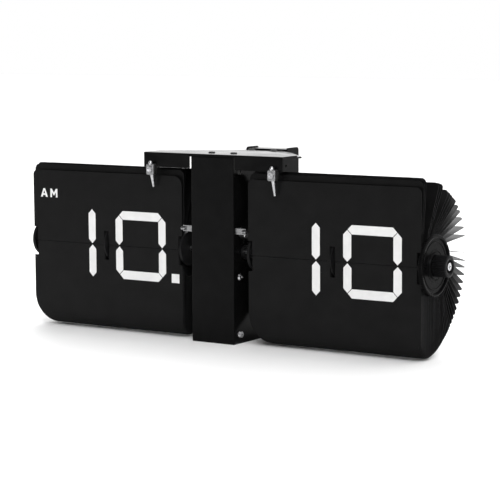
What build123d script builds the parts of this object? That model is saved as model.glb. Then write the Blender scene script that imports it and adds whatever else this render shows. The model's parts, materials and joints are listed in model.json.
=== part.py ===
"""Flip number clock: a sheet-steel column with a T-shaped head carries two drums of flip cards.

Millimetres, +Z up, +X to the viewer's right, the display faces -Y.
The origin is the middle of the column's footprint on the surface that it stands on.
"""

from build123d import *
import math
import os

os.makedirs("parts", exist_ok=True)

# ---------------------------------------------------------------- driving dimensions
sheet = 1.2  # steel sheet thickness
sheet_bend = 2.5  # outside radius of the rear bend
column_width = 37.5
column_depth = 91.0
head_height = 140.0
head_half = 61.5  # half of the head's width
strip_depth = 26.0  # front strip of the head, before it tapers
wing_drop = 11.0  # height of the wings folded down at the front
slit = 1.55  # gap between each wing and the column

card_inner = 29.5  # |x| of the card edge beside the column
card_outer = 172.0  # |x| of the card edge at the free end
card_length = 55.0  # pivot to free edge
card_lap = 0.4  # card behind its pivot
card_thickness = 0.2
notch_depth = 10.0  # narrow part of a card, beside the pivot discs
card_corner = 4.0
leading_corner = 7.5
hanging_corner = 14.0

drum_depth = 15.0  # drum axis behind the column's front face
drum_height = 67.6
ring_radius = 11.5  # pivots of the cards
disc_radius = 13.4
shaft_radius = 2.0
wheel_radius = 21.8  # setting wheel
rear_rise = 1.0  # how far the side plates stand above the head behind it
running = 0.05  # radial clearance of a running fit

# ---------------------------------------------------------------- places worked out from them
half = column_width / 2
inside = half - sheet
front = -column_depth / 2
back = column_depth / 2
plate_top = head_height - sheet
column_top = plate_top - sheet
axis_y = front + drum_depth
card_width = card_outer - card_inner
card_middle = (card_outer + card_inner) / 2
card_plane_y = front + 3.5
neck_half = card_width / 2 - 3.4
gear_distance = 12.0


def export(name, solid):
    """Label one finished piece and write it."""
    solid.label = name
    export_step(solid, "parts/" + name + ".step")


def across(x):
    """The YZ plane at x, drawn in (Y, Z) and extruded along +X."""
    return Plane(origin=(x, 0, 0), x_dir=(0, 1, 0), z_dir=(1, 0, 0))


def facing_front(x, y, z):
    """A plane facing the viewer, drawn in (X, Z) about a point and extruded along -Y."""
    return Plane(origin=(x, y, z), x_dir=(1, 0, 0), z_dir=(0, -1, 0))


# ================================================================ column
door_pin = (back - 2.2, 3.4)
idler_place = (axis_y, drum_height + gear_distance)
motor_place = (axis_y + gear_distance, drum_height)
screw_row = front + 8.4
post_places = [(screw_row, 49.5), (front + 44, 50.0), (front + 30, 105.0)]
tab_screws = [(screw_row, 6.8), (screw_row, 127.7)]

with BuildPart() as column_cover:
    with BuildSketch(Plane.XY):
        with BuildLine():
            Polyline(
                (-half, back), (-half, front), (half, front), (half, back),
                (inside, back), (inside, front + sheet), (-inside, front + sheet), (-inside, back),
                close=True,
            )
        make_face()
    extrude(amount=column_top)
    with BuildSketch(Plane.XY.offset(column_top)):
        with Locations((-half + sheet / 2, back - 8.2), (half - sheet / 2, back - 8.2)):
            Rectangle(sheet, 16.4)
    extrude(amount=head_height + rear_rise - column_top)
    bends = column_cover.edges().filter_by(Axis.Z).group_by(Axis.Y)[0]
    fillet(bends, 0.9)
    rear_corners = column_cover.edges().filter_by(Axis.X).group_by(Axis.Z)[-1]
    fillet(rear_corners, sheet_bend)
    with BuildSketch(across(-half - 1)):
        with Locations((axis_y, drum_height)):
            Circle(3.5)
        with Locations(idler_place):
            Circle(1.0 + running)
        with Locations(door_pin):
            Circle(1.0 + running)
        with Locations(*(post_places + tab_screws)):
            Circle(1.5)
    extrude(amount=column_width + 2, mode=Mode.SUBTRACT)
export("column_cover", column_cover.part)

with BuildPart() as base_plate:
    with BuildSketch(Plane.XY):
        with Locations((0, front + 41)):
            Rectangle(2 * inside - 0.2, 79)
    extrude(amount=sheet)
    with BuildSketch(Plane.XY.offset(sheet)):
        with Locations((inside - 0.7, front + 12), (-inside + 0.7, front + 12)):
            Rectangle(sheet, 20)
    extrude(amount=12.0)
    with BuildSketch(across(-half)):
        with Locations(tab_screws[0]):
            Circle(1.2)
    extrude(amount=column_width, mode=Mode.SUBTRACT)
export("base_plate", base_plate.part)

keyhole_height = 118.0
keyhole_radius = 4.25
with BuildPart() as back_plate:
    with BuildSketch(facing_front(0, back, 0)):
        with Locations((0, 74 + (head_height - 74) / 2)):
            Rectangle(2 * inside - 0.2, head_height - 74)
        with Locations((0, keyhole_height)):
            Circle(keyhole_radius, mode=Mode.SUBTRACT)
        with Locations((0, keyhole_height + 5)):
            Rectangle(4.2, 10, mode=Mode.SUBTRACT)
        with Locations((0, keyhole_height + 10)):
            Circle(2.1, mode=Mode.SUBTRACT)
    extrude(amount=sheet)
    with BuildSketch(Plane.XY.offset(head_height - sheet)):
        with Locations((0, back - 8.2)):
            Rectangle(2 * inside - 0.2, 16.4)
    extrude(amount=sheet)
    fillet(back_plate.edges().filter_by(Axis.X).group_by(Axis.Z)[-1].group_by(Axis.Y)[-1], sheet_bend)
export("back_plate", back_plate.part)

with BuildPart() as battery_door:
    with BuildSketch(facing_front(0, back, 0)):
        with Locations((0, 37.7)):
            RectangleRounded(34.4, 71.4, 1.0)
    extrude(amount=1.4)
    with BuildSketch(across(-17.2)):
        with Locations((back - 2.3, 3.4)):
            Rectangle(2.2, 2.2)
    extrude(amount=5)
    with BuildSketch(across(12.2)):
        with Locations((back - 2.3, 3.4)):
            Rectangle(2.2, 2.2)
    extrude(amount=5)
    with BuildSketch(across(-18.4)):
        with Locations(door_pin):
            Circle(1.0)
    extrude(amount=6)
    with BuildSketch(across(12.4)):
        with Locations(door_pin):
            Circle(1.0)
    extrude(amount=6)
    with BuildSketch(facing_front(0, back, 0)):
        with GridLocations(0, 3.2, 1, 5):
            with Locations((0, 64)):
                Rectangle(16, 1.2)
    extrude(amount=0.5, mode=Mode.SUBTRACT)
export("battery_door", battery_door.part)

# ================================================================ head
taper_half = half - 0.7
taper_back = front + 74.0


def head_outline(side, strip, rear_half, rear):
    """Corners of the T-shaped outline, wide at the front and tapering to the rear."""
    return [
        (-side, front), (side, front), (side, front + strip), (rear_half, rear),
        (-rear_half, rear), (-side, front + strip),
    ]


front_head_screws = [(-9.75, front + 14.7), (9.75, front + 14.7)]
rear_head_screws = [(-10.0, front + 69.0), (10.0, front + 69.0)]

with BuildPart() as head_plate:
    with BuildSketch(Plane.XY.offset(column_top)):
        Polygon(*head_outline(head_half, strip_depth, taper_half, taper_back), align=None)
        with Locations((0, front)):
            Rectangle(2 * head_half + 2, 2 * sheet, mode=Mode.SUBTRACT)
        with Locations(*(front_head_screws + rear_head_screws)):
            Circle(1.3, mode=Mode.SUBTRACT)
    extrude(amount=sheet)
    for sign in (-1, 1):
        with BuildSketch(across(sign * (head_half - sheet / 2) - sheet / 2)):
            with Locations((front + 6.9, head_height - 5.6)):
                Rectangle(11.2, 8.8)
            with Locations((front + 4.6, head_height - 6.6)):
                Circle(1.0, mode=Mode.SUBTRACT)
        extrude(amount=sheet)
        with BuildSketch(across(sign * (inside - 0.7) - sheet / 2)):
            with Locations((front + 11.5, column_top - 8)):
                Rectangle(18, 16)
            with Locations(tab_screws[1]):
                Circle(1.2, mode=Mode.SUBTRACT)
        extrude(amount=sheet)
        with BuildSketch(Plane.XY.offset(column_top - 16)):
            with Locations((sign * (inside - 0.7), front + 63)):
                Rectangle(sheet, 16)
        extrude(amount=16)
export("head_plate", head_plate.part)

with BuildPart() as head_cover:
    with BuildSketch(Plane.XY.offset(plate_top)):
        Polygon(*head_outline(head_half, 20.0, 16.0, front + 50.0), align=None)
        with Locations(*front_head_screws):
            Circle(1.3, mode=Mode.SUBTRACT)
    extrude(amount=sheet)
    for sign in (-1, 1):
        wing_inner = half + slit
        wing_middle = sign * (wing_inner + head_half) / 2
        with BuildSketch(facing_front(wing_middle, front + sheet, plate_top - wing_drop / 2 + sheet / 2)):
            Rectangle(head_half - wing_inner, wing_drop - sheet)
        extrude(amount=sheet)
    fillet(head_cover.edges().filter_by(Axis.X).group_by(Axis.Z)[-1].group_by(Axis.Y)[0], 0.8)
export("head_cover", head_cover.part)

# ================================================================ fasteners
with BuildPart() as side_screws:
    for sign in (-1, 1):
        for y, z in post_places + tab_screws[:1]:
            with BuildSketch(Plane(origin=(sign * half, y, z), z_dir=(sign, 0, 0))):
                Circle(2.7)
            extrude(amount=1.5, taper=18)
            with BuildSketch(Plane(origin=(sign * half, y, z), z_dir=(-sign, 0, 0))):
                Circle(1.2)
            extrude(amount=4.0)
            with BuildSketch(Plane(origin=(sign * (half + 1.5), y, z), z_dir=(-sign, 0, 0))):
                Rectangle(3.0, 0.6)
                Rectangle(0.6, 3.0)
            extrude(amount=0.7, mode=Mode.SUBTRACT)
export("side_screws", side_screws.part)

head_seats = [Plane(origin=(x, y, head_height)) for x, y in front_head_screws]
head_seats += [Plane(origin=(x, y, plate_top)) for x, y in rear_head_screws]
head_seats += [
    Plane(origin=(sign * half, *tab_screws[1]), x_dir=(0, 1, 0), z_dir=(sign, 0, 0)) for sign in (-1, 1)
]
with BuildPart() as head_screws:
    for seat in head_seats:
        with BuildSketch(seat):
            Circle(2.7)
        extrude(amount=0.9, taper=30)
        with BuildSketch(seat.offset(-4.0)):
            Circle(1.2)
        extrude(amount=4.0)
        with BuildSketch(seat.offset(0.3)):
            RegularPolygon(1.2, 6)
        extrude(amount=0.6, mode=Mode.SUBTRACT)
export("head_screws", head_screws.part)

# ================================================================ fingers
fingers = {"left": (-53.2, 123.2, 114.0), "right": (54.4, 122.7, 111.8)}  # x, block's foot, pin's tip
block_width = 6.6
block_height = 8.0
block_depth = 4.4
pin_lean = 11.6  # degrees that a pin leans back towards the cards
pin_radius = 1.45
pin_tip_radius = 0.8
pin_depth = 2.2  # pin's axis in front of the wing, at the block's middle
socket_across = 1.5

for side, (x, foot, tip) in fingers.items():
    tilt = math.radians(pin_lean)
    block_middle = foot + block_height / 2
    tip_length = (block_middle - tip) / math.cos(tilt)
    pin_plane = Plane(
        origin=(x, front - pin_depth, block_middle), x_dir=(1, 0, 0),
        z_dir=(0, -math.sin(tilt), math.cos(tilt)),
    )
    with BuildPart() as finger_block:
        with BuildSketch(facing_front(x, front, block_middle)):
            RectangleRounded(block_width, block_height, 1.2)
        extrude(amount=block_depth)
        fillet(finger_block.edges().group_by(Axis.Y)[0], 0.5)
        with BuildSketch(pin_plane.offset(-8)):
            Circle(pin_radius)
        extrude(amount=16, mode=Mode.SUBTRACT)
    export(side + "_finger_block", finger_block.part)

    with BuildPart() as finger_pin:
        with BuildSketch(pin_plane.offset(-4.5)):
            Circle(pin_radius)
        extrude(amount=9.0)
        with BuildSketch(pin_plane.offset(-tip_length)):
            Circle(pin_tip_radius)
        with BuildSketch(pin_plane.offset(-4.5)):
            Circle(pin_radius)
        loft()
        with Locations(pin_plane.offset(5.0).location):
            Sphere(1.6)
    export(side + "_finger_pin", finger_pin.part)

with BuildPart() as finger_clamp_screws:
    for x, foot, tip in fingers.values():
        with BuildSketch(facing_front(x, front - block_depth, foot + block_height / 2)):
            Circle(2.2)
        extrude(amount=1.2)
        with BuildSketch(facing_front(x, front - block_depth - 0.3, foot + block_height / 2)):
            RegularPolygon(socket_across, 6)
        extrude(amount=0.9, mode=Mode.SUBTRACT)
export("finger_clamp_screws", finger_clamp_screws.part)

# ================================================================ flip cards
card_sides = {"hour": -1, "minute": 1}
card_counts = {"hour": 48, "minute": 60}
tab_outer = 70.7
tab_half = 0.5
mid_notch = 2.0  # half width of the notch over the middle disc
disc_thickness = 2.0
groove_inner = ring_radius - 1.1
groove_outer = ring_radius + 1.05
middle_disc_radius = 14.2
fan_first = 158.0  # place on the pivot ring of the first standing card behind the front one
fan_last = -156.0
fan_curve = [
    (158, 88), (147, 84.5), (141.5, 64), (130.5, 58), (125, 48.5), (114, 41), (103, 35.5), (92, 25.4),
    (75.4, 6), (69.9, -7.5), (26, -50.5), (4, -66), (-24, -77), (-45, -82), (-80, -87), (-156, -90),
]


def slope_at(place):
    """Direction of a resting card, in degrees above level to the rear, at its place on the pivot ring."""
    for (high, high_slope), (low, low_slope) in zip(fan_curve, fan_curve[1:]):
        if low <= place <= high:
            return low_slope + (high_slope - low_slope) * (place - low) / (high - low)
    raise ValueError(place)


def card_location(middle, depth, height, slope):
    """Where a card's own frame goes: its pivot, and the direction of its length."""
    return Location((middle, depth, height), (slope - 90, 0, 0))


card_outline = [
    (-neck_half, -card_lap), (-neck_half, -tab_half), (-tab_outer, -tab_half), (-tab_outer, tab_half),
    (-neck_half, tab_half), (-neck_half, notch_depth), (-card_width / 2, notch_depth),
    (-card_width / 2, card_length), (card_width / 2, card_length), (card_width / 2, notch_depth),
    (neck_half, notch_depth), (neck_half, tab_half), (tab_outer, tab_half), (tab_outer, -tab_half),
    (neck_half, -tab_half), (neck_half, -card_lap),
]
card_face = Plane(origin=(0, card_thickness / 2, 0), x_dir=(1, 0, 0), z_dir=(0, -1, 0))

card_patterns = {}
pattern_corners = [
    ("standing", card_corner, card_corner),
    ("leading", card_corner, leading_corner),
    ("hanging", hanging_corner, card_corner),
]
for pattern, left_corner, right_corner in pattern_corners:
    with BuildPart() as card:
        with BuildSketch(card_face):
            Polygon(*card_outline, align=None)
            with Locations((0, notch_depth / 2 - 1)):
                Rectangle(2 * mid_notch, notch_depth + 2, mode=Mode.SUBTRACT)
        extrude(amount=card_thickness)
        free_corners = card.edges().filter_by(Axis.Y).group_by(Axis.Z)[-1].sort_by(Axis.X)
        fillet(free_corners[0], left_corner)
        fillet(card.edges().filter_by(Axis.Y).group_by(Axis.Z)[-1].sort_by(Axis.X)[-1], right_corner)
    card_patterns[pattern] = card.part

front_upper = (card_plane_y, drum_height - 0.1, 90.0)
front_lower = (card_plane_y + 0.3, drum_height - 2.2, -90.0)
front_lap = 1.4  # the front lower card reaches up to the split

for name, side in card_sides.items():
    middle = side * card_middle
    resting = card_counts[name] - 2
    step = (fan_first - fan_last) / (resting - 1)
    groups = {"upper": [], "rear": [], "lower": []}
    for index in range(resting):
        place = fan_first - index * step
        slope = slope_at(place)
        ring = math.radians(place)
        spot = card_location(
            middle, axis_y + ring_radius * math.cos(ring), drum_height + ring_radius * math.sin(ring), slope
        )
        if slope > 30:
            groups["upper"].append(spot)
        elif slope > -70:
            groups["rear"].append(spot)
        else:
            groups["lower"].append(spot)
    for group, spots in groups.items():
        pattern = card_patterns["hanging" if group == "lower" else "standing"]
        export(name + "_cards_" + group, Compound(children=[pattern.moved(spot) for spot in spots]))
    front_pattern = card_patterns["leading" if name == "hour" else "standing"]
    export(name + "_front_upper_card", front_pattern.moved(card_location(middle, *front_upper)))
    with BuildPart() as front_lower_card:
        add(card_patterns["hanging"].moved(card_location(middle, *front_lower)))
        with BuildSketch(facing_front(middle, front_lower[0] + card_thickness / 2, front_lower[1])):
            for sign in (-1, 1):
                with Locations((sign * (neck_half + mid_notch) / 2, (front_lap + card_lap) / 2)):
                    Rectangle(neck_half - mid_notch, front_lap - card_lap)
        extrude(amount=card_thickness)
    export(name + "_front_lower_card", front_lower_card.part)

# ================================================================ digits printed on the front cards
ink = 0.08
stroke = 6.6
digit_top = 93.8
digit_bottom = 41.6
upper_tip = 67.5
lower_tip = 66.4
segment_gap = 0.35
zero_left = 9.0
zero_right = 56.0
one_left = -16.9
upper_ink = Plane(origin=(0, card_plane_y - card_thickness / 2, 0), x_dir=(1, 0, 0), z_dir=(0, -1, 0))
lower_ink = upper_ink.offset(-0.3)


def upright(left, tip, end, way):
    """Corners of an upright segment, pointed at both ends."""
    bevel = stroke / 2
    return [
        (left + bevel, tip), (left, tip + way * bevel), (left, end - way * bevel), (left + bevel, end),
        (left + stroke, end - way * bevel), (left + stroke, tip + way * bevel),
    ]


def half_digits(middle, tip, end):
    """Outlines of half of a 1 and half of a squared 0, in segments that part at the mitred corners."""
    way = 1 if end > tip else -1
    left, right = middle + zero_left, middle + zero_right
    inner_end = end - way * (stroke / 2 + segment_gap)
    level_left, level_right = left + stroke / 2 + segment_gap, right - stroke / 2 - segment_gap
    level = [
        (level_left, end - way * stroke / 2), (level_left + stroke / 2, end), (level_right - stroke / 2, end),
        (level_right, end - way * stroke / 2), (level_right - stroke / 2, end - way * stroke),
        (level_left + stroke / 2, end - way * stroke),
    ]
    return [
        upright(middle + one_left, tip, end, way), upright(left, tip, inner_end, way),
        upright(right - stroke, tip, inner_end, way), level,
    ]


meridiem_left = -164.8
meridiem_foot = 101.3
letter_height = 6.7
letter_width = 7.0
letter_stroke = 1.5
letter_gap = 2.6
second_letter = meridiem_left + letter_width + letter_gap

for name, side in card_sides.items():
    middle = side * card_middle
    with BuildPart() as upper_print:
        with BuildSketch(upper_ink):
            for outline in half_digits(middle, upper_tip, digit_top):
                Polygon(*outline, align=None)
            if name == "hour":
                with Locations((meridiem_left + letter_width / 2, meridiem_foot + letter_height / 2)):
                    Trapezoid(letter_width, letter_height, 68)
                with Locations((meridiem_left + letter_width / 2, meridiem_foot + 0.7)):
                    Trapezoid(letter_width - 2 * letter_stroke - 0.6, 1.5, 68, mode=Mode.SUBTRACT)
                with Locations((meridiem_left + letter_width / 2, meridiem_foot + 3.9)):
                    Trapezoid(letter_width - 2 * letter_stroke - 2.1, 2.2, 68, mode=Mode.SUBTRACT)
                Polygon(
                    (second_letter, meridiem_foot), (second_letter, meridiem_foot + letter_height),
                    (second_letter + letter_stroke, meridiem_foot + letter_height),
                    (second_letter + letter_width / 2, meridiem_foot + 3.6),
                    (second_letter + letter_width - letter_stroke, meridiem_foot + letter_height),
                    (second_letter + letter_width, meridiem_foot + letter_height),
                    (second_letter + letter_width, meridiem_foot),
                    (second_letter + letter_width - letter_stroke, meridiem_foot),
                    (second_letter + letter_width - letter_stroke, meridiem_foot + 3.9),
                    (second_letter + letter_width / 2, meridiem_foot + 1.3),
                    (second_letter + letter_stroke, meridiem_foot + 3.9),
                    (second_letter + letter_stroke, meridiem_foot),
                    align=None,
                )
        extrude(amount=ink)
    export(name + "_upper_print", upper_print.part)

    with BuildPart() as lower_print:
        with BuildSketch(lower_ink):
            for outline in half_digits(middle, lower_tip, digit_bottom):
                Polygon(*outline, align=None)
            if name == "hour":
                with Locations((-36.1, digit_bottom + 3.6)):
                    Rectangle(7.0, 6.8)
        extrude(amount=ink)
    export(name + "_lower_print", lower_print.part)

# ================================================================ drums
pip = 0.16  # half of the gap between the two arbor tips
arbor_radius = 1.25
arbor_end = 8.0
disc_inner_x = card_inner - 0.25
disc_outer_x = card_outer - disc_thickness + 0.25
drum_centre = (axis_y, drum_height)
bush_radius = 3.5
tube_radius = 4.0

for name, side in card_sides.items():
    shaft_end = 178.0 if side > 0 else 173.4
    with BuildPart() as shaft:
        with BuildSketch(across(side * arbor_end)):
            with Locations(drum_centre):
                Circle(shaft_radius)
        extrude(amount=side * (shaft_end - arbor_end))
        with BuildSketch(across(side * pip)):
            with Locations(drum_centre):
                Circle(arbor_radius)
        extrude(amount=side * (arbor_end - pip))
    export(name + "_shaft", shaft.part)

    with BuildPart() as drum_tube:
        with BuildSketch(across(side * (disc_inner_x + disc_thickness))):
            with Locations(drum_centre):
                Circle(tube_radius)
                Circle(shaft_radius, mode=Mode.SUBTRACT)
        extrude(amount=side * (disc_outer_x - disc_inner_x - disc_thickness))
    export(name + "_drum_tube", drum_tube.part)

    for place, start, way in (("inner", disc_inner_x, 1), ("outer", disc_outer_x, -1)):
        with BuildPart() as pivot_disc:
            with BuildSketch(across(side * start)):
                with Locations(drum_centre):
                    Circle(disc_radius)
                    Circle(shaft_radius, mode=Mode.SUBTRACT)
            extrude(amount=side * disc_thickness)
            open_face = start + disc_thickness if way > 0 else start
            with BuildSketch(across(side * open_face)):
                with Locations(drum_centre):
                    Circle(groove_outer)
                    Circle(groove_inner, mode=Mode.SUBTRACT)
            extrude(amount=-side * way * 1.4, mode=Mode.SUBTRACT)
        export(name + "_" + place + "_disc", pivot_disc.part)

    with BuildPart() as middle_disc:
        with BuildSketch(across(side * card_middle - 0.5)):
            with Locations(drum_centre):
                Circle(middle_disc_radius)
                Circle(tube_radius, mode=Mode.SUBTRACT)
        extrude(amount=1.0)
    export(name + "_middle_disc", middle_disc.part)

    with BuildPart() as drum_bush:
        with BuildSketch(across(side * inside)):
            with Locations(drum_centre):
                Circle(bush_radius)
                Circle(shaft_radius + running, mode=Mode.SUBTRACT)
        extrude(amount=side * sheet)
        with BuildSketch(across(side * half)):
            with Locations(drum_centre):
                Circle(5.2)
                Circle(shaft_radius + running, mode=Mode.SUBTRACT)
        extrude(amount=side * 1.4)
    export(name + "_drum_bush", drum_bush.part)

# ---------------------------------------------------------------- ends of the drums
wheel_x = 174.6
with BuildPart() as setting_wheel:
    with BuildSketch(across(wheel_x)):
        with Locations(drum_centre):
            Circle(wheel_radius)
            Circle(shaft_radius, mode=Mode.SUBTRACT)
    extrude(amount=3.2)
    with BuildSketch(across(wheel_x + 3.2)):
        with Locations(drum_centre):
            Circle(wheel_radius - 2.6)
            Circle(9.6, mode=Mode.SUBTRACT)
    extrude(amount=-1.1, mode=Mode.SUBTRACT)
    fillet(setting_wheel.edges().filter_by(GeomType.CIRCLE).sort_by(SortBy.RADIUS)[-2:], 0.5)
    with BuildSketch(across(card_outer + 0.55)):
        with Locations(drum_centre):
            Circle(5.0)
            Circle(shaft_radius, mode=Mode.SUBTRACT)
    extrude(amount=wheel_x - card_outer - 0.55)
export("setting_wheel", setting_wheel.part)

knob_radius = 7.7
knob_start = wheel_x + 3.2
knob_ribs = 40
with BuildPart() as setting_knob:
    with BuildSketch(across(knob_start)):
        with Locations(drum_centre):
            Circle(knob_radius)
            with PolarLocations(knob_radius + 0.15, knob_ribs):
                Circle(0.38, mode=Mode.SUBTRACT)
    extrude(amount=10.4)
    chamfer(setting_knob.faces().sort_by(Axis.X)[-1].edges(), 0.15)
    with BuildSketch(across(knob_start)):
        with Locations(drum_centre):
            Circle(shaft_radius)
    extrude(amount=178.0 - knob_start, mode=Mode.SUBTRACT)
    with BuildSketch(across(knob_start + 10.4)):
        with Locations(drum_centre):
            Circle(4.6)
    extrude(amount=-1.6, mode=Mode.SUBTRACT)
    with BuildSketch(across(knob_start + 10.4)):
        with Locations(drum_centre):
            Circle(1.5)
    extrude(amount=-8.0, mode=Mode.SUBTRACT)
export("setting_knob", setting_knob.part)

with BuildPart() as knob_screw:
    with BuildSketch(across(knob_start + 8.8)):
        with Locations(drum_centre):
            Circle(3.0)
    extrude(amount=1.4, taper=12)
    with BuildSketch(across(knob_start + 8.8)):
        with Locations(drum_centre):
            Circle(1.4)
    extrude(amount=-6.0)
    with BuildSketch(across(knob_start + 10.2)):
        with Locations(drum_centre):
            Rectangle(3.6, 0.7)
            Rectangle(0.7, 3.6)
    extrude(amount=-0.8, mode=Mode.SUBTRACT)
export("knob_screw", knob_screw.part)

with BuildPart() as hour_end_cap:
    with BuildSketch(across(-card_outer - 0.55)):
        with Locations(drum_centre):
            Circle(10.0)
            Circle(shaft_radius, mode=Mode.SUBTRACT)
    extrude(amount=-3.0)
    outer_rims = hour_end_cap.edges().filter_by(GeomType.CIRCLE).group_by(Axis.X)[0]
    fillet(outer_rims.sort_by(SortBy.RADIUS)[-1], 1.2)
export("hour_end_cap", hour_end_cap.part)

# ================================================================ wheels of the movement


def gear_corners(teeth, module, first_tooth):
    """Corners of a spur gear with straight flanks and plenty of backlash; first_tooth is in degrees."""
    pitch_radius = teeth * module / 2
    pitch = 360 / teeth
    corners = []
    for tooth in range(teeth):
        middle = first_tooth + tooth * pitch
        for offset, radius in (
            (-0.27, pitch_radius - 1.15 * module), (-0.20, pitch_radius),
            (-0.09, pitch_radius + 0.78 * module), (0.09, pitch_radius + 0.78 * module),
            (0.20, pitch_radius), (0.27, pitch_radius - 1.15 * module),
        ):
            angle = math.radians(middle + offset * pitch)
            corners.append((radius * math.cos(angle), radius * math.sin(angle)))
    return corners


minute_module = gear_distance * 2 / 58
hour_module = gear_distance * 2 / 48
drive_module = gear_distance * 2 / 40
above = 90.0  # the idler stands above the drums
behind = 0.0  # the motor stands behind them
# name: (teeth, module, first tooth, centre, x from, x to, bore)
gears = {
    "minute_pinion": (10, minute_module, above, drum_centre, 3.0, 6.0, arbor_radius),
    "minute_drive_wheel": (32, drive_module, behind, drum_centre, 9.0, 11.0, shaft_radius),
    "hour_wheel": (40, hour_module, above, drum_centre, -5.0, -3.0, arbor_radius),
    "idler_wheel": (48, minute_module, above + 180 + 180 / 48, idler_place, 3.5, 5.5, 1.0),
    "idler_pinion": (8, hour_module, above + 180 + 180 / 8, idler_place, -5.5, -2.5, 1.0),
    "motor_pinion": (8, drive_module, behind + 180 + 180 / 8, motor_place, 8.5, 11.5, 0.6),
}
for name, (teeth, module, first_tooth, centre, low, high, bore) in gears.items():
    with BuildPart() as gear:
        with BuildSketch(across(low)):
            with Locations(centre):
                Polygon(*gear_corners(teeth, module, first_tooth), align=None)
                Circle(bore, mode=Mode.SUBTRACT)
            if teeth > 30:
                with Locations(centre):
                    with PolarLocations(teeth * module / 3.4, 5):
                        Circle(teeth * module / 9, mode=Mode.SUBTRACT)
        extrude(amount=high - low)
    export(name, gear.part)

with BuildPart() as idler_arbor:
    with BuildSketch(across(-half + 0.2)):
        with Locations(idler_place):
            Circle(1.0)
    extrude(amount=column_width - 0.4)
export("idler_arbor", idler_arbor.part)

with BuildPart() as motor_shaft:
    with BuildSketch(across(8.2)):
        with Locations(motor_place):
            Circle(0.6)
    extrude(amount=6.0)
export("motor_shaft", motor_shaft.part)

with BuildPart() as centre_plate:
    with BuildSketch(across(-0.75)):
        with Locations((front + 26, 72)):
            Rectangle(46, 76)
        with Locations(drum_centre):
            Circle(arbor_radius + running, mode=Mode.SUBTRACT)
        with Locations(idler_place):
            Circle(1.5, mode=Mode.SUBTRACT)
    extrude(amount=1.5)
export("centre_plate", centre_plate.part)

with BuildPart() as plate_posts:
    for sign in (-1, 1):
        for place in post_places:
            with BuildSketch(across(sign * 0.75)):
                with Locations(place):
                    Circle(3.0)
            extrude(amount=sign * (inside - 0.75))
            with BuildSketch(across(sign * inside)):
                with Locations(place):
                    Circle(1.2)
            extrude(amount=-sign * 3.5, mode=Mode.SUBTRACT)
export("plate_posts", plate_posts.part)

with BuildPart() as motor_case:
    with BuildSketch(across(12.4)):
        with Locations((front + 36, 74)):
            RectangleRounded(31, 34, 2.0)
        with Locations(motor_place):
            Circle(0.6 + running, mode=Mode.SUBTRACT)
    extrude(amount=5.0)
export("motor_case", motor_case.part)

with BuildPart() as circuit_board:
    with BuildSketch(across(2.0)):
        with Locations((front + 39, 74)):
            Rectangle(21, 40)
    extrude(amount=1.2)
    with BuildSketch(across(3.2)):
        with Locations((front + 40, 80), (front + 40, 66)):
            Rectangle(9, 7)
    extrude(amount=1.6)
    with BuildSketch(across(0.75)):
        with Locations((front + 30, 92), (front + 44, 56)):
            Circle(1.4)
    extrude(amount=1.25)
export("circuit_board", circuit_board.part)

# ================================================================ battery
cell_radius = 17.1
cell_place = (0, front + 71.0)
cell_foot = 6.0
cell_height = 61.5
with BuildPart() as battery:
    with BuildSketch(Plane.XY.offset(cell_foot)):
        with Locations(cell_place):
            Circle(cell_radius)
    extrude(amount=cell_height - 1.6)
    fillet(battery.edges().filter_by(GeomType.CIRCLE), 1.0)
    with BuildSketch(Plane.XY.offset(cell_foot + cell_height - 1.6)):
        with Locations(cell_place):
            Circle(4.2)
    extrude(amount=1.6)
export("battery", battery.part)

with BuildPart() as battery_holder:
    with BuildSketch(Plane.XY.offset(sheet)):
        with Locations((0, front + 70)):
            Rectangle(34.6, 32)
    extrude(amount=2.0)
    with BuildSketch(Plane.XY.offset(sheet)):
        with Locations((0, front + 52.6)):
            Rectangle(34.6, 2.0)
    extrude(amount=71.0)
    with BuildSketch(Plane.XY.offset(sheet + 69.0)):
        with Locations((0, front + 69.5)):
            Rectangle(34.6, 31)
    extrude(amount=2.0)
export("battery_holder", battery_holder.part)

with BuildPart() as battery_contacts:
    with BuildSketch(Plane.XY.offset(cell_foot + cell_height)):
        with Locations(cell_place):
            Rectangle(12, 12)
    extrude(amount=0.4)
    with BuildSketch(Plane.XY.offset(cell_foot + cell_height + 0.4)):
        with Locations((0, cell_place[1])):
            Rectangle(3, 8)
    extrude(amount=sheet + 69.0 - cell_foot - cell_height - 0.4)
export("battery_contacts", battery_contacts.part)

spring_foot = sheet + 2.0
with BuildPart() as battery_spring:
    with BuildLine() as coil:
        Helix(1.0, cell_foot - spring_foot - 0.7, 5.0, center=(*cell_place, spring_foot + 0.35))
    with BuildSketch(Plane(origin=coil.line @ 0, z_dir=coil.line % 0)):
        Circle(0.3)
    sweep()
export("battery_spring", battery_spring.part)

# ================================================================ click springs beside the column
spring_height = 84.0
spring_leaf = 0.5
with BuildPart() as click_springs:
    for sign in (-1, 1):
        with BuildSketch(across(sign * (half + spring_leaf / 2) - spring_leaf / 2)):
            with Locations((front + 6.0, spring_height)):
                Rectangle(7.0, 4.4)
        extrude(amount=spring_leaf)
        with BuildSketch(Plane.XY.offset(spring_height - 2.2)):
            with Locations((sign * (half + 4.6), front + 2.75)):
                Rectangle(9.2, spring_leaf)
        extrude(amount=4.4)
        with BuildSketch(across(sign * (half + 8.4) - 1.6)):
            with Locations((front + 2.2, spring_height)):
                Circle(1.5)
        extrude(amount=3.2)
export("click_springs", click_springs.part)
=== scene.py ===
"""Looks for the flip number clock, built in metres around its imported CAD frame."""

import json
import math
import random

import bmesh
import bpy
from mathutils import Matrix, Vector


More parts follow.
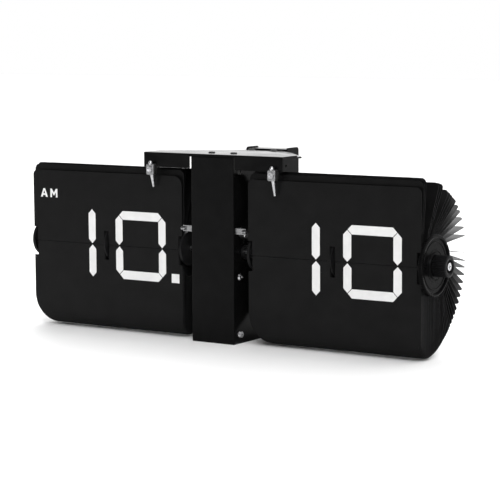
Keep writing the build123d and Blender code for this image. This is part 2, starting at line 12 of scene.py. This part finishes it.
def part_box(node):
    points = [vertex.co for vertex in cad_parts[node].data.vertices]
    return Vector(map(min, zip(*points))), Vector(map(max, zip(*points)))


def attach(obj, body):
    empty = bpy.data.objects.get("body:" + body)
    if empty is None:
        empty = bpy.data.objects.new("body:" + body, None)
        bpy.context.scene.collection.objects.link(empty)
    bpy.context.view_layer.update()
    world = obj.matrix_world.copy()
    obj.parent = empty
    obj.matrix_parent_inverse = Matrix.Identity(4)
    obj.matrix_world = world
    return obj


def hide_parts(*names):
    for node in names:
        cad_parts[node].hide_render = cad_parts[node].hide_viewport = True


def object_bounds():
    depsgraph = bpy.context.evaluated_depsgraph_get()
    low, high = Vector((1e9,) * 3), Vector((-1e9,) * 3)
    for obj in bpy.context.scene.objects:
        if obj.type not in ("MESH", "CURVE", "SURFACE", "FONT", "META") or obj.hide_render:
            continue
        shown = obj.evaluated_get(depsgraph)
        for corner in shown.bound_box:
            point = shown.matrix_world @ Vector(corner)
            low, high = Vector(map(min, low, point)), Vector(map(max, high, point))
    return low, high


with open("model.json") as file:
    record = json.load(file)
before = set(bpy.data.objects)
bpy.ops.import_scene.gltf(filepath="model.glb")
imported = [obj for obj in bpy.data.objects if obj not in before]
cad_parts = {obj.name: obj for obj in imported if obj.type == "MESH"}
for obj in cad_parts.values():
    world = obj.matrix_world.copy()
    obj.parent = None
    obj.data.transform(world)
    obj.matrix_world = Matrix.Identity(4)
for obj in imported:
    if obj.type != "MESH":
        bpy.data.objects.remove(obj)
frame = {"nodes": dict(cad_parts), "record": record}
cad_low, cad_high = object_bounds()
MM = 0.001
nodes = frame["nodes"]
body_of_node = {n: b for b, ns in frame["record"]["behaviour"]["bodies"].items() for n in ns}
slot_of_node = {s["node"]: s["material_slot"] for s in frame["record"]["subparts"]}


# ---------------------------------------------------------------- materials
NOISE_LOW, NOISE_HIGH = 0.3, 0.7  # most values of a noise pattern lie between these


class Look:
    """A material built a step at a time: base colour, roughness and bump, each with its own pattern."""

    def __init__(self, name, roughness, metallic=0.0, specular=0.5):
        self.material = bpy.data.materials.new(name)
        self.material.use_nodes = True
        self.tree = self.material.node_tree
        self.shader = self.tree.nodes["Principled BSDF"]
        self.shader.inputs["Roughness"].default_value = roughness
        self.shader.inputs["Metallic"].default_value = metallic
        self.shader.inputs["Specular IOR Level"].default_value = specular
        self.place = self.tree.nodes.new("ShaderNodeTexCoord").outputs["Object"]
        self.normal = None

    def stretched(self, x, y, z):
        """Object coordinates times a factor each way, in repeats per metre."""
        mapping = self.tree.nodes.new("ShaderNodeMapping")
        mapping.inputs["Scale"].default_value = (x, y, z)
        self.tree.links.new(self.place, mapping.inputs["Vector"])
        return mapping.outputs["Vector"]

    def noise(self, scale, detail=4.0, stretch=(1, 1, 1)):
        """A noise pattern with about scale repeats per metre, times the stretch each way."""
        texture = self.tree.nodes.new("ShaderNodeTexNoise")
        texture.inputs["Scale"].default_value = 1.0
        texture.inputs["Detail"].default_value = detail
        way = self.stretched(*(scale * factor for factor in stretch))
        self.tree.links.new(way, texture.inputs["Vector"])
        return texture.outputs["Fac"]

    def colour(self, pattern, dark, light):
        """Base colour that runs from dark to light with a pattern."""
        ramp = self.tree.nodes.new("ShaderNodeValToRGB")
        ramp.color_ramp.elements[0].position = NOISE_LOW
        ramp.color_ramp.elements[1].position = NOISE_HIGH
        ramp.color_ramp.elements[0].color = (*dark, 1)
        ramp.color_ramp.elements[1].color = (*light, 1)
        self.tree.links.new(pattern, ramp.inputs["Fac"])
        self.tree.links.new(ramp.outputs["Color"], self.shader.inputs["Base Color"])

    def roughness(self, pattern, low, high):
        """Roughness that runs from low to high with a pattern."""
        spread = self.tree.nodes.new("ShaderNodeMapRange")
        spread.inputs["From Min"].default_value = NOISE_LOW
        spread.inputs["From Max"].default_value = NOISE_HIGH
        spread.inputs["To Min"].default_value = low
        spread.inputs["To Max"].default_value = high
        self.tree.links.new(pattern, spread.inputs["Value"])
        self.tree.links.new(spread.outputs["Result"], self.shader.inputs["Roughness"])

    def bump(self, pattern, height, strength=0.5):
        """Bump of a height in metres; each call adds to the one before."""
        bump = self.tree.nodes.new("ShaderNodeBump")
        bump.inputs["Distance"].default_value = height
        bump.inputs["Strength"].default_value = strength
        self.tree.links.new(pattern, bump.inputs["Height"])
        if self.normal is not None:
            self.tree.links.new(self.normal, bump.inputs["Normal"])
        self.normal = bump.outputs["Normal"]
        self.tree.links.new(self.normal, self.shader.inputs["Normal"])


def powder_coat():
    """Satin black powder coat with its fine orange peel."""
    look = Look("powder_coat", 0.16, specular=0.06)
    look.colour(look.noise(90), (0.0022, 0.0022, 0.0023), (0.0036, 0.0036, 0.0037))
    look.roughness(look.noise(60), 0.12, 0.20)
    look.bump(look.noise(2200, 2.0), 0.00001, 0.15)
    look.bump(look.noise(500, 3.0), 0.00002, 0.08)
    return look.material


def card_plastic():
    """Thin satin black plastic sheet, with a fine grain and faint scuffs along its length."""
    look = Look("card_plastic", 0.38, specular=0.11)
    look.colour(look.noise(70), (0.0028, 0.0028, 0.0029), (0.0045, 0.0045, 0.0046))
    look.roughness(look.noise(45, 5.0, (1, 1, 2.5)), 0.30, 0.44)
    look.bump(look.noise(3800, 2.0), 0.00002, 0.35)
    look.bump(look.noise(18, 2.0), 0.0004, 0.12)
    return look.material


def painted_highlight_card_edge():
    """The cut edge of a card, from black to dark grey by its depth in the fan: painted highlights and
    painted shade that stand in for the thin light lines the edges catch.
    """
    look = Look("painted_highlight_card_edge", 0.42, specular=0.08)
    # Painted highlights and shade: the dark grey bands along Y stand in for the light lines on the card
    # edges, and the near-black between them for the shade between cards.
    look.colour(look.noise(330, 1.0, (0.02, 1, 0.02)), (0.0006, 0.0006, 0.0006), (0.060, 0.060, 0.062))
    look.bump(look.noise(3000, 2.0), 0.00003, 0.3)
    return look.material


def white_ink():
    """Screen-printed white ink, with a slight tooth."""
    look = Look("white_ink", 0.5, specular=0.4)
    look.colour(look.noise(160), (0.715, 0.715, 0.71), (0.77, 0.77, 0.765))
    look.roughness(look.noise(120), 0.44, 0.58)
    look.bump(look.noise(4200, 2.0), 0.00002, 0.4)
    return look.material


def bright_screw():
    """Nickel-plated screw."""
    look = Look("bright_screw", 0.18, metallic=1.0)
    look.colour(look.noise(400), (0.50, 0.50, 0.51), (0.66, 0.66, 0.67))
    look.roughness(look.noise(900, 4.0), 0.12, 0.26)
    look.bump(look.noise(3000, 2.0), 0.00001, 0.3)
    return look.material


def black_screw():
    """Black oxide screw with a slight oil sheen."""
    look = Look("black_screw", 0.35, specular=0.3)
    look.colour(look.noise(400), (0.008, 0.008, 0.008), (0.018, 0.018, 0.018))
    look.roughness(look.noise(900, 4.0), 0.28, 0.42)
    look.bump(look.noise(3000, 2.0), 0.00001, 0.3)
    return look.material


def cast_metal():
    """Satin zinc casting of the finger blocks."""
    look = Look("cast_metal", 0.36, metallic=1.0)
    look.colour(look.noise(500), (0.24, 0.24, 0.245), (0.36, 0.36, 0.365))
    look.roughness(look.noise(700, 4.0), 0.28, 0.44)
    look.bump(look.noise(1800, 3.0), 0.00004, 0.4)
    return look.material


def turned_steel(name, dark, light, low, high):
    """Steel with fine drawing lines along X."""
    look = Look(name, (low + high) / 2, metallic=1.0)
    look.colour(look.noise(300, 3.0, (0.2, 3, 3)), dark, light)
    look.roughness(look.noise(400, 3.0, (0.1, 4, 4)), low, high)
    look.bump(look.noise(900, 3.0, (0.1, 3, 3)), 0.00001, 0.3)
    return look.material


def moulded(name, dark, light, low, high, specular=0.08):
    """Injection-moulded plastic with a faint spark grain."""
    look = Look(name, (low + high) / 2, specular=specular)
    look.colour(look.noise(120), dark, light)
    look.roughness(look.noise(80), low, high)
    look.bump(look.noise(2600, 2.0), 0.00003, 0.35)
    return look.material


def cut_brass():
    """Cut brass, a little tarnished."""
    look = Look("cut_brass", 0.3, metallic=1.0)
    look.colour(look.noise(260), (0.55, 0.36, 0.12), (0.80, 0.58, 0.26))
    look.roughness(look.noise(500), 0.22, 0.40)
    look.bump(look.noise(1500, 2.0), 0.00002, 0.3)
    return look.material


looks = {
    "sheet_black": powder_coat(),
    "screw_steel": bright_screw(),
    "screw_black": black_screw(),
    "finger_metal": cast_metal(),
    "pin_metal": turned_steel("pin_steel", (0.40, 0.40, 0.41), (0.55, 0.55, 0.56), 0.22, 0.36),
    "card_black": card_plastic(),
    "print_white": white_ink(),
    "bush_plastic": moulded("black_moulding", (0.005, 0.005, 0.0052), (0.010, 0.010, 0.0105), 0.30, 0.45),
    "disc_plastic": moulded("disc_moulding", (0.006, 0.006, 0.0062), (0.012, 0.012, 0.0125), 0.28, 0.40),
    "wheel_metal": moulded(
        "wheel_moulding", (0.002, 0.002, 0.0021), (0.004, 0.004, 0.0041), 0.22, 0.34, specular=0.03
    ),
    "shaft_steel": turned_steel("shaft_steel", (0.45, 0.45, 0.46), (0.62, 0.62, 0.63), 0.18, 0.32),
    "gear_brass": cut_brass(),
    "board_green": moulded("board_green", (0.012, 0.07, 0.03), (0.03, 0.14, 0.06), 0.25, 0.4),
    "cell_wrap": moulded("cell_wrap", (0.10, 0.11, 0.13), (0.17, 0.18, 0.21), 0.2, 0.3),
}
# The card edges carry painted highlights and painted shade.
painted_highlight_edge_look = painted_highlight_card_edge()


# ---------------------------------------------------------------- pieces made from CAD nodes
def add_object(name, data):
    """A new object in the scene."""
    made = bpy.data.objects.new(name, data)
    bpy.context.scene.collection.objects.link(made)
    return made


def add_piece(name, mesh, node, materials):
    """A new piece that stands for one CAD node: it rides on that node's body and keeps its finish slot."""
    piece = add_object(name, mesh)
    for material in materials:
        mesh.materials.append(material)
    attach(piece, body_of_node[node])
    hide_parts(node)


def shade_by_angle(mesh, degrees):
    """Smooth shading that keeps the edges sharper than an angle."""
    mesh.shade_smooth()
    mesh.set_sharp_from_angle(angle=math.radians(degrees))


SHEET_EDGE = 0.25 * MM
EDGE_STEPS = 2
SAME_POINT = 0.01 * MM
SAME_PLANE = 0.5  # degrees between faces that are one flat face
SHARP_EDGE = 35  # degrees between faces whose edge is rounded over
FLAT_SHADING = 15  # degrees; keeps large flat faces flat beside their small rounded edges


def softened(node):
    """A sheet metal node's own shape, with its sharp edges rounded over."""
    mesh = nodes[node].data.copy()
    mesh.materials.clear()
    working = bmesh.new()
    working.from_mesh(mesh)
    bmesh.ops.remove_doubles(working, verts=working.verts, dist=SAME_POINT)
    bmesh.ops.dissolve_limit(
        working, angle_limit=math.radians(SAME_PLANE), verts=working.verts, edges=working.edges
    )
    limit = math.radians(SHARP_EDGE)
    sharp = [e for e in working.edges if len(e.link_faces) == 2 and e.calc_face_angle(0) > limit]
    bmesh.ops.bevel(
        working, geom=sharp, offset=SHEET_EDGE, segments=EDGE_STEPS, profile=0.5, affect="EDGES",
        clamp_overlap=True,
    )
    working.to_mesh(mesh)
    working.free()
    shade_by_angle(mesh, FLAT_SHADING)
    add_piece("fine_" + node, mesh, node, [looks[slot_of_node[node]]])


for name, node in nodes.items():
    node.data.materials.clear()
    node.data.materials.append(looks[slot_of_node[name]])

for name in ("column_cover", "head_cover", "head_plate", "back_plate", "base_plate"):
    softened(name)

# ---------------------------------------------------------------- flip cards
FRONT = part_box("column_cover")[0].y
DRUM_Y = FRONT + 15.0 * MM
DRUM_Z = 67.6 * MM
RING = 11.5 * MM  # radius at which the cards pivot
LENGTH = 55.0 * MM  # from the pivot to the free edge
LAP = 0.4 * MM  # how far a card goes past its pivot
WIDTH = 142.5 * MM
MIDDLE = 100.75 * MM  # |x| of the middle of a card
NECK = WIDTH / 2 - 3.4 * MM  # half width beside the end discs
NECK_CORNER = 0.8 * MM
SHOULDER_CORNER = 0.6 * MM
NOTCH = 10.0 * MM  # depth of the notches round the discs
SLOT = 2.0 * MM  # half width of the notch round the middle disc
SLOT_CORNER = 1.0 * MM
THICK = 0.2 * MM
CORNER = 4.0 * MM
HANGING_CORNER = 14.0 * MM
CORNER_STEPS = 8
BEND_STEPS = 11
CARD_SHADING = 32  # degrees

# A resting card's place is its angle round the pivot ring, in degrees from level at the rear. Each pair
# below is a place and the card's slope there, in degrees above level, to the rear.
FAN_FIRST, FAN_LAST = 158.0, -156.0
FAN_CURVE = [
    (158, 88), (147, 84.5), (141.5, 64), (130.5, 58), (125, 48.5), (114, 41), (103, 35.5), (92, 25.4),
    (75.4, 6), (69.9, -7.5), (26, -50.5), (4, -66), (-24, -77), (-45, -82), (-80, -87), (-156, -90),
]
UPPER_SLOPE = 30  # cards steeper than this are in the upper pack
LOWER_SLOPE = -70  # and cards that hang down more than this are in the lower one
HANGING_SLOPE = -60  # cards that hang down more than this hardly bow
CARD_COUNTS = {"hour": 48, "minute": 60}
FRONT_CARDS = 2  # the two cards at the front of each side are not in the packs
SIDES = {"hour": -1, "minute": 1}

# A card sags in proportion to how level it lies. Each spread is the most that chance adds either way, in
# millimetres, or in degrees for the slope. HANGING_BOW is the share of the bow that a hanging card keeps.
SAG_BOW = 0.9
SAG_BOW_SPREAD = 0.35
BOW_SPREAD = 0.05
TWIST_SPREAD = 0.8
SLOPE_SPREAD = 0.5
HANGING_BOW = 0.2


def slope_at(place):
    """Slope of a resting card at its place on the pivot ring."""
    for (high, high_slope), (low, low_slope) in zip(FAN_CURVE, FAN_CURVE[1:]):
        if low <= place <= high:
            return low_slope + (high_slope - low_slope) * (place - low) / (high - low)
    return FAN_CURVE[-1][1]


def rounded(x, z, radius, first):
    """Points of a quarter circle that rounds a corner, from an angle in degrees, clockwise."""
    turns = [math.radians(first - 90 * i / CORNER_STEPS) for i in range(CORNER_STEPS + 1)]
    return [(x + radius * math.cos(turn), z + radius * math.sin(turn)) for turn in turns]


def card_outline(left_corner):
    """Outline of a card in its own frame: pivot at the origin, free edge at +Z, clockwise."""
    half = WIDTH / 2
    points = [
        (-NECK, -LAP), (-NECK, NOTCH - NECK_CORNER), (-NECK - NECK_CORNER, NOTCH),
        (-half + SHOULDER_CORNER, NOTCH), (-half, NOTCH + SHOULDER_CORNER),
    ]
    points += rounded(-half + left_corner, LENGTH - left_corner, left_corner, 180)
    points += rounded(half - CORNER, LENGTH - CORNER, CORNER, 90)
    points += [
        (half, NOTCH + SHOULDER_CORNER), (half - SHOULDER_CORNER, NOTCH),
        (NECK + NECK_CORNER, NOTCH), (NECK, NOTCH - NECK_CORNER), (NECK, -LAP),
        (SLOT, -LAP), (SLOT, NOTCH - SLOT_CORNER), (SLOT - SLOT_CORNER, NOTCH),
        (-SLOT + SLOT_CORNER, NOTCH), (-SLOT, NOTCH - SLOT_CORNER), (-SLOT, -LAP),
    ]
    return points


def card_face(left_corner, bow, twist):
    """A card with no thickness: cut across in strips, so that it can bow and twist along its length."""
    sheet = bmesh.new()
    sheet.faces.new([sheet.verts.new((x, 0, z)) for x, z in card_outline(left_corner)])
    for cut in range(1, BEND_STEPS):
        bmesh.ops.bisect_plane(
            sheet, geom=sheet.verts[:] + sheet.edges[:] + sheet.faces[:],
            plane_co=(0, 0, LENGTH * cut / BEND_STEPS), plane_no=(0, 0, 1),
        )
    for vert in sheet.verts:
        along = max(vert.co.z, 0) / LENGTH
        vert.co.y = bow * along ** 2 + twist * along * vert.co.x / WIDTH
    bmesh.ops.recalc_face_normals(sheet, faces=sheet.faces)
    if sum(f.normal.y for f in sheet.faces) > 0:
        bmesh.ops.reverse_faces(sheet, faces=sheet.faces)
    return sheet


def thicken(sheet):
    """Gives a sheet its thickness: a second face behind the first, and the cut edges between them."""
    front = sheet.faces[:]
    back = bmesh.ops.duplicate(sheet, geom=front)
    back_faces = [g for g in back["geom"] if isinstance(g, bmesh.types.BMFace)]
    bmesh.ops.reverse_faces(sheet, faces=back_faces)
    pairs = back["vert_map"]
    for vert in [g for g in back["geom"] if isinstance(g, bmesh.types.BMVert)]:
        vert.co.y += THICK / 2
    front_verts = {v for f in front for v in f.verts}
    for vert in front_verts:
        vert.co.y -= THICK / 2
    rims = [e for f in front for e in f.edges if len(e.link_faces) == 1]
    for edge in rims:
        a, b = edge.verts
        rim = sheet.faces.new((b, a, pairs[a], pairs[b]))
        rim.material_index = 1
    bmesh.ops.recalc_face_normals(sheet, faces=sheet.faces)


def card_sheet(working, place, left_corner, bow, twist):
    """Adds one card to a mesh, at its place."""
    sheet = card_face(left_corner, bow, twist)
    thicken(sheet)
    sheet.transform(place)
    mesh = bpy.data.meshes.new("sheet")
    sheet.to_mesh(mesh)
    sheet.free()
    working.from_mesh(mesh)
    bpy.data.meshes.remove(mesh)


def card_place(middle, depth, height, slope):
    """Matrix that takes a card's own frame to its pivot and direction."""
    return Matrix.Translation((middle, depth, height)) @ Matrix.Rotation(math.radians(slope - 90), 4, "X")


def make_fans():
    """The resting cards of both sides, one mesh for each CAD pack."""
    chance = random.Random(11)
    for name, side in SIDES.items():
        resting = CARD_COUNTS[name] - FRONT_CARDS
        packs = {"upper": bmesh.new(), "rear": bmesh.new(), "lower": bmesh.new()}
        for index in range(resting):
            place = FAN_FIRST - index * (FAN_FIRST - FAN_LAST) / (resting - 1)
            slope = slope_at(place)
            ring = math.radians(place)
            pack = "upper" if slope > UPPER_SLOPE else "rear" if slope > LOWER_SLOPE else "lower"
            corner = HANGING_CORNER if pack == "lower" else CORNER
            sag = max(0.0, math.cos(math.radians(slope)))
            own_bow = chance.uniform(-SAG_BOW_SPREAD, SAG_BOW_SPREAD) * sag
            bow = (SAG_BOW * sag + own_bow + chance.uniform(-BOW_SPREAD, BOW_SPREAD)) * MM
            if slope < HANGING_SLOPE:
                bow = -abs(bow) * HANGING_BOW
            twist = chance.uniform(-TWIST_SPREAD, TWIST_SPREAD) * sag * MM
            slope += chance.uniform(-SLOPE_SPREAD, SLOPE_SPREAD) * sag
            depth = DRUM_Y + RING * math.cos(ring)
            height = DRUM_Z + RING * math.sin(ring)
            card_sheet(packs[pack], card_place(side * MIDDLE, depth, height, slope), corner, bow, twist)
        for pack, working in packs.items():
            node = f"{name}_cards_{pack}"
            mesh = bpy.data.meshes.new("fan_" + node)
            working.to_mesh(mesh)
            working.free()
            shade_by_angle(mesh, CARD_SHADING)
            add_piece("fan_" + node, mesh, node, [looks["card_black"], painted_highlight_edge_look])


make_fans()

# ---------------------------------------------------------------- turned parts
TOOTH_POINTS = 6
PLAIN_POINTS = 160
TURNED_SHADING = 38  # degrees


def lathe(name, node, profile, teeth=0, depth=0.0):
    """Turns a profile of (x, radius, ribbed), in millimetres, about the drum axis.

    The ribbed rings are cut into so many teeth, of a depth. The first and last rings are closed flat.
    """
    working = bmesh.new()
    rings = []
    count = teeth * TOOTH_POINTS or PLAIN_POINTS
    for x, radius, ribbed in profile:
        ring = []
        for i in range(count):
            turn = 2 * math.pi * i / count
            dip = depth * (0.5 - 0.5 * math.cos(turn * teeth)) if ribbed else 0.0
            r = (radius - dip) * MM
            place = (x * MM, DRUM_Y + r * math.cos(turn), DRUM_Z + r * math.sin(turn))
            ring.append(working.verts.new(place))
        rings.append(ring)
    for first, second in zip(rings, rings[1:]):
        for i in range(count):
            j = (i + 1) % count
            working.faces.new((first[i], first[j], second[j], second[i]))
    working.faces.new(rings[0])
    working.faces.new(rings[-1])
    bmesh.ops.recalc_face_normals(working, faces=working.faces)
    mesh = bpy.data.meshes.new(name)
    working.to_mesh(mesh)
    working.free()
    shade_by_angle(mesh, TURNED_SHADING)
    add_piece(name, mesh, node, [looks[slot_of_node[node]]])


HUB_X = 172.6  # the inner end of the wheel's hub
HUB_RADIUS = 5.0
WHEEL_X = 174.6  # the wheel's inner face
WHEEL_RADIUS = 21.8
WEB_X = WHEEL_X + 2.1  # its sunken outer face
KNOB_X = WHEEL_X + 3.2  # its rim, and where the knob starts
RING_CHAMFER = 0.2


def raised_ring(outer, inner, height):
    """Profile points of a low ring that stands on the wheel's sunken face."""
    top = WEB_X + height
    return [
        (WEB_X, outer, False), (top, outer - RING_CHAMFER, False),
        (top, inner + RING_CHAMFER, False), (WEB_X, inner, False),
    ]


wheel_profile = [
    (HUB_X, HUB_RADIUS - 0.4, False), (HUB_X, HUB_RADIUS, False), (WHEEL_X, HUB_RADIUS, False),
    (WHEEL_X, WHEEL_RADIUS - 0.9, False),
    (WHEEL_X + 0.3, WHEEL_RADIUS - 0.2, True), (WHEEL_X + 0.6, WHEEL_RADIUS, True),
    (WHEEL_X + 2.6, WHEEL_RADIUS, True), (WHEEL_X + 2.95, WHEEL_RADIUS - 0.2, True),
    (KNOB_X, WHEEL_RADIUS - 0.6, False), (KNOB_X, WHEEL_RADIUS - 2.0, False),
    (WHEEL_X + 2.9, WHEEL_RADIUS - 2.4, False), (WEB_X, WHEEL_RADIUS - 2.6, False),
    *raised_ring(17.2, 16.0, 0.4),
    *raised_ring(11.6, 10.4, 0.3),
    (WEB_X, 9.6, False), (WHEEL_X + 2.9, 9.3, False), (KNOB_X, 9.0, False), (KNOB_X, 2.1, False),
]
lathe("wheel", "setting_wheel", wheel_profile, teeth=90, depth=0.35)

KNOB_RADIUS = 7.7
KNOB_LENGTH = 10.4
RECESS_X = KNOB_X + 8.8  # floor of the recess for the knob's screw
knob_profile = [
    (KNOB_X, KNOB_RADIUS - 0.6, False), (KNOB_X + 0.25, KNOB_RADIUS - 0.2, True),
    (KNOB_X + 0.5, KNOB_RADIUS, True), (KNOB_X + KNOB_LENGTH - 0.7, KNOB_RADIUS, True),
    (KNOB_X + KNOB_LENGTH - 0.3, KNOB_RADIUS - 0.3, False),
    (KNOB_X + KNOB_LENGTH, KNOB_RADIUS - 0.8, False), (KNOB_X + KNOB_LENGTH, 5.2, False),
    (KNOB_X + KNOB_LENGTH - 0.3, 4.8, False), (RECESS_X, 4.6, False), (RECESS_X, 1.5, False),
]
lathe("knob", "setting_knob", knob_profile, teeth=40, depth=0.7)

CAP_INNER_X = -172.55
CAP_OUTER_X = -175.55
CAP_RADIUS = 10.0
CAP_GROOVE = 0.35  # depth of the groove in its outer face
cap_profile = [
    (CAP_INNER_X, 2.0, False), (CAP_INNER_X, CAP_RADIUS - 0.4, False),
    (CAP_INNER_X - 0.35, CAP_RADIUS, False), (CAP_OUTER_X + 1.15, CAP_RADIUS, False),
    (CAP_OUTER_X + 0.55, CAP_RADIUS - 0.3, False), (CAP_OUTER_X + 0.15, CAP_RADIUS - 1.0, False),
    (CAP_OUTER_X, CAP_RADIUS - 2.0, False), (CAP_OUTER_X, 6.4, False),
    (CAP_OUTER_X + CAP_GROOVE, 6.2, False), (CAP_OUTER_X + CAP_GROOVE, 3.4, False),
    (CAP_OUTER_X, 3.2, False), (CAP_OUTER_X, 0.4, False),
]
lathe("end_cap", "hour_end_cap", cap_profile)

# ---------------------------------------------------------------- stage, light and camera
centre = (cad_low + cad_high) / 2


def make_floor():
    """A large pale floor under the clock."""
    mesh = bpy.data.meshes.new("floor")
    reach = 6.0
    corners = [(-reach, -reach, 0), (reach, -reach, 0), (reach, reach, 0), (-reach, reach, 0)]
    mesh.from_pydata(corners, [], [(0, 1, 2, 3)])
    floor = add_object("floor", mesh)
    look = Look("floor_paper", 0.6, specular=0.2)
    look.colour(look.noise(6), (0.90, 0.90, 0.90), (0.93, 0.93, 0.93))
    look.bump(look.noise(500, 3.0), 0.00005, 0.1)
    mesh.materials.append(look.material)


def soft_box(name, place, aim, width, height, watts):
    """An area light at a place, turned towards a point."""
    data = bpy.data.lights.new(name, "AREA")
    data.shape = "RECTANGLE"
    data.size, data.size_y = width, height
    data.energy = watts
    light = add_object(name, data)
    light.location = place
    light.rotation_euler = (Vector(aim) - Vector(place)).to_track_quat("-Z", "Y").to_euler()


def sun(name, towards, strength, spread):
    """Even light from one direction, as from a very large soft box; spread is its width in degrees."""
    data = bpy.data.lights.new(name, "SUN")
    data.energy = strength
    data.angle = math.radians(spread)
    light = add_object(name, data)
    light.rotation_euler = Vector(towards).to_track_quat("Z", "Y").to_euler()


CAMERA_PLACE = Vector((0.7786, -1.1818, 0.2324))  # to the right of the clock and a little above it
CAMERA_AIM = Vector((0.0179, -0.0221, 0.0681))
CAMERA_ROLL = -0.29  # degrees


def make_camera():
    """The camera, with a long lens, aimed near the middle of the clock."""
    data = bpy.data.cameras.new("camera")
    data.lens = 135.45
    data.sensor_width = 36.0
    camera = add_object("camera", data)
    level = (CAMERA_AIM - CAMERA_PLACE).to_track_quat("-Z", "Y").to_matrix().to_4x4()
    roll = Matrix.Rotation(math.radians(CAMERA_ROLL), 4, "Z")
    camera.matrix_world = Matrix.Translation(CAMERA_PLACE) @ level @ roll
    bpy.context.scene.camera = camera


BACKDROP = Vector((-0.545, 0.83, 0.118))  # towards the middle of the backdrop, behind the clock
BACKDROP_EDGE, BACKDROP_MIDDLE = 0.5, 0.85  # cosines of the angle off that direction
ROOM_LIGHT, BACKDROP_LIGHT = 0.16, 1.4


def make_world():
    """White to the eye all round. As a light it is bright behind the clock and dim in front."""
    world = bpy.data.worlds.new("studio")
    world.use_nodes = True
    tree = world.node_tree
    tree.nodes.clear()
    out = tree.nodes.new("ShaderNodeOutputWorld")
    seen = tree.nodes.new("ShaderNodeBackground")
    lit = tree.nodes.new("ShaderNodeBackground")
    mix = tree.nodes.new("ShaderNodeMixShader")
    path = tree.nodes.new("ShaderNodeLightPath")
    place = tree.nodes.new("ShaderNodeTexCoord")
    turn = tree.nodes.new("ShaderNodeVectorMath")
    fade = tree.nodes.new("ShaderNodeMapRange")
    turn.operation = "DOT_PRODUCT"
    turn.inputs[1].default_value = BACKDROP.normalized()
    tree.links.new(place.outputs["Generated"], turn.inputs[0])
    tree.links.new(turn.outputs["Value"], fade.inputs["Value"])
    fade.inputs["From Min"].default_value = BACKDROP_EDGE
    fade.inputs["From Max"].default_value = BACKDROP_MIDDLE
    fade.inputs["To Min"].default_value = ROOM_LIGHT
    fade.inputs["To Max"].default_value = BACKDROP_LIGHT
    tree.links.new(fade.outputs["Result"], lit.inputs["Strength"])
    tree.links.new(path.outputs["Is Camera Ray"], mix.inputs["Fac"])
    tree.links.new(lit.outputs["Background"], mix.inputs[1])
    tree.links.new(seen.outputs["Background"], mix.inputs[2])
    tree.links.new(mix.outputs["Shader"], out.inputs["Surface"])
    for background in (seen, lit):
        background.inputs["Color"].default_value = (1.0, 1.0, 1.0, 1)
    bpy.context.scene.world = world


make_floor()
sun("sky", (0.15, 0.35, 1.0), 2.2, 70)
sun("front", (0.75, -1.0, 0.95), 2.4, 40)
soft_box("rim", (-0.7, 0.9, 1.0), centre, 1.0, 0.6, 6)
make_camera()
make_world()
bpy.context.scene.view_settings.view_transform = "Standard"
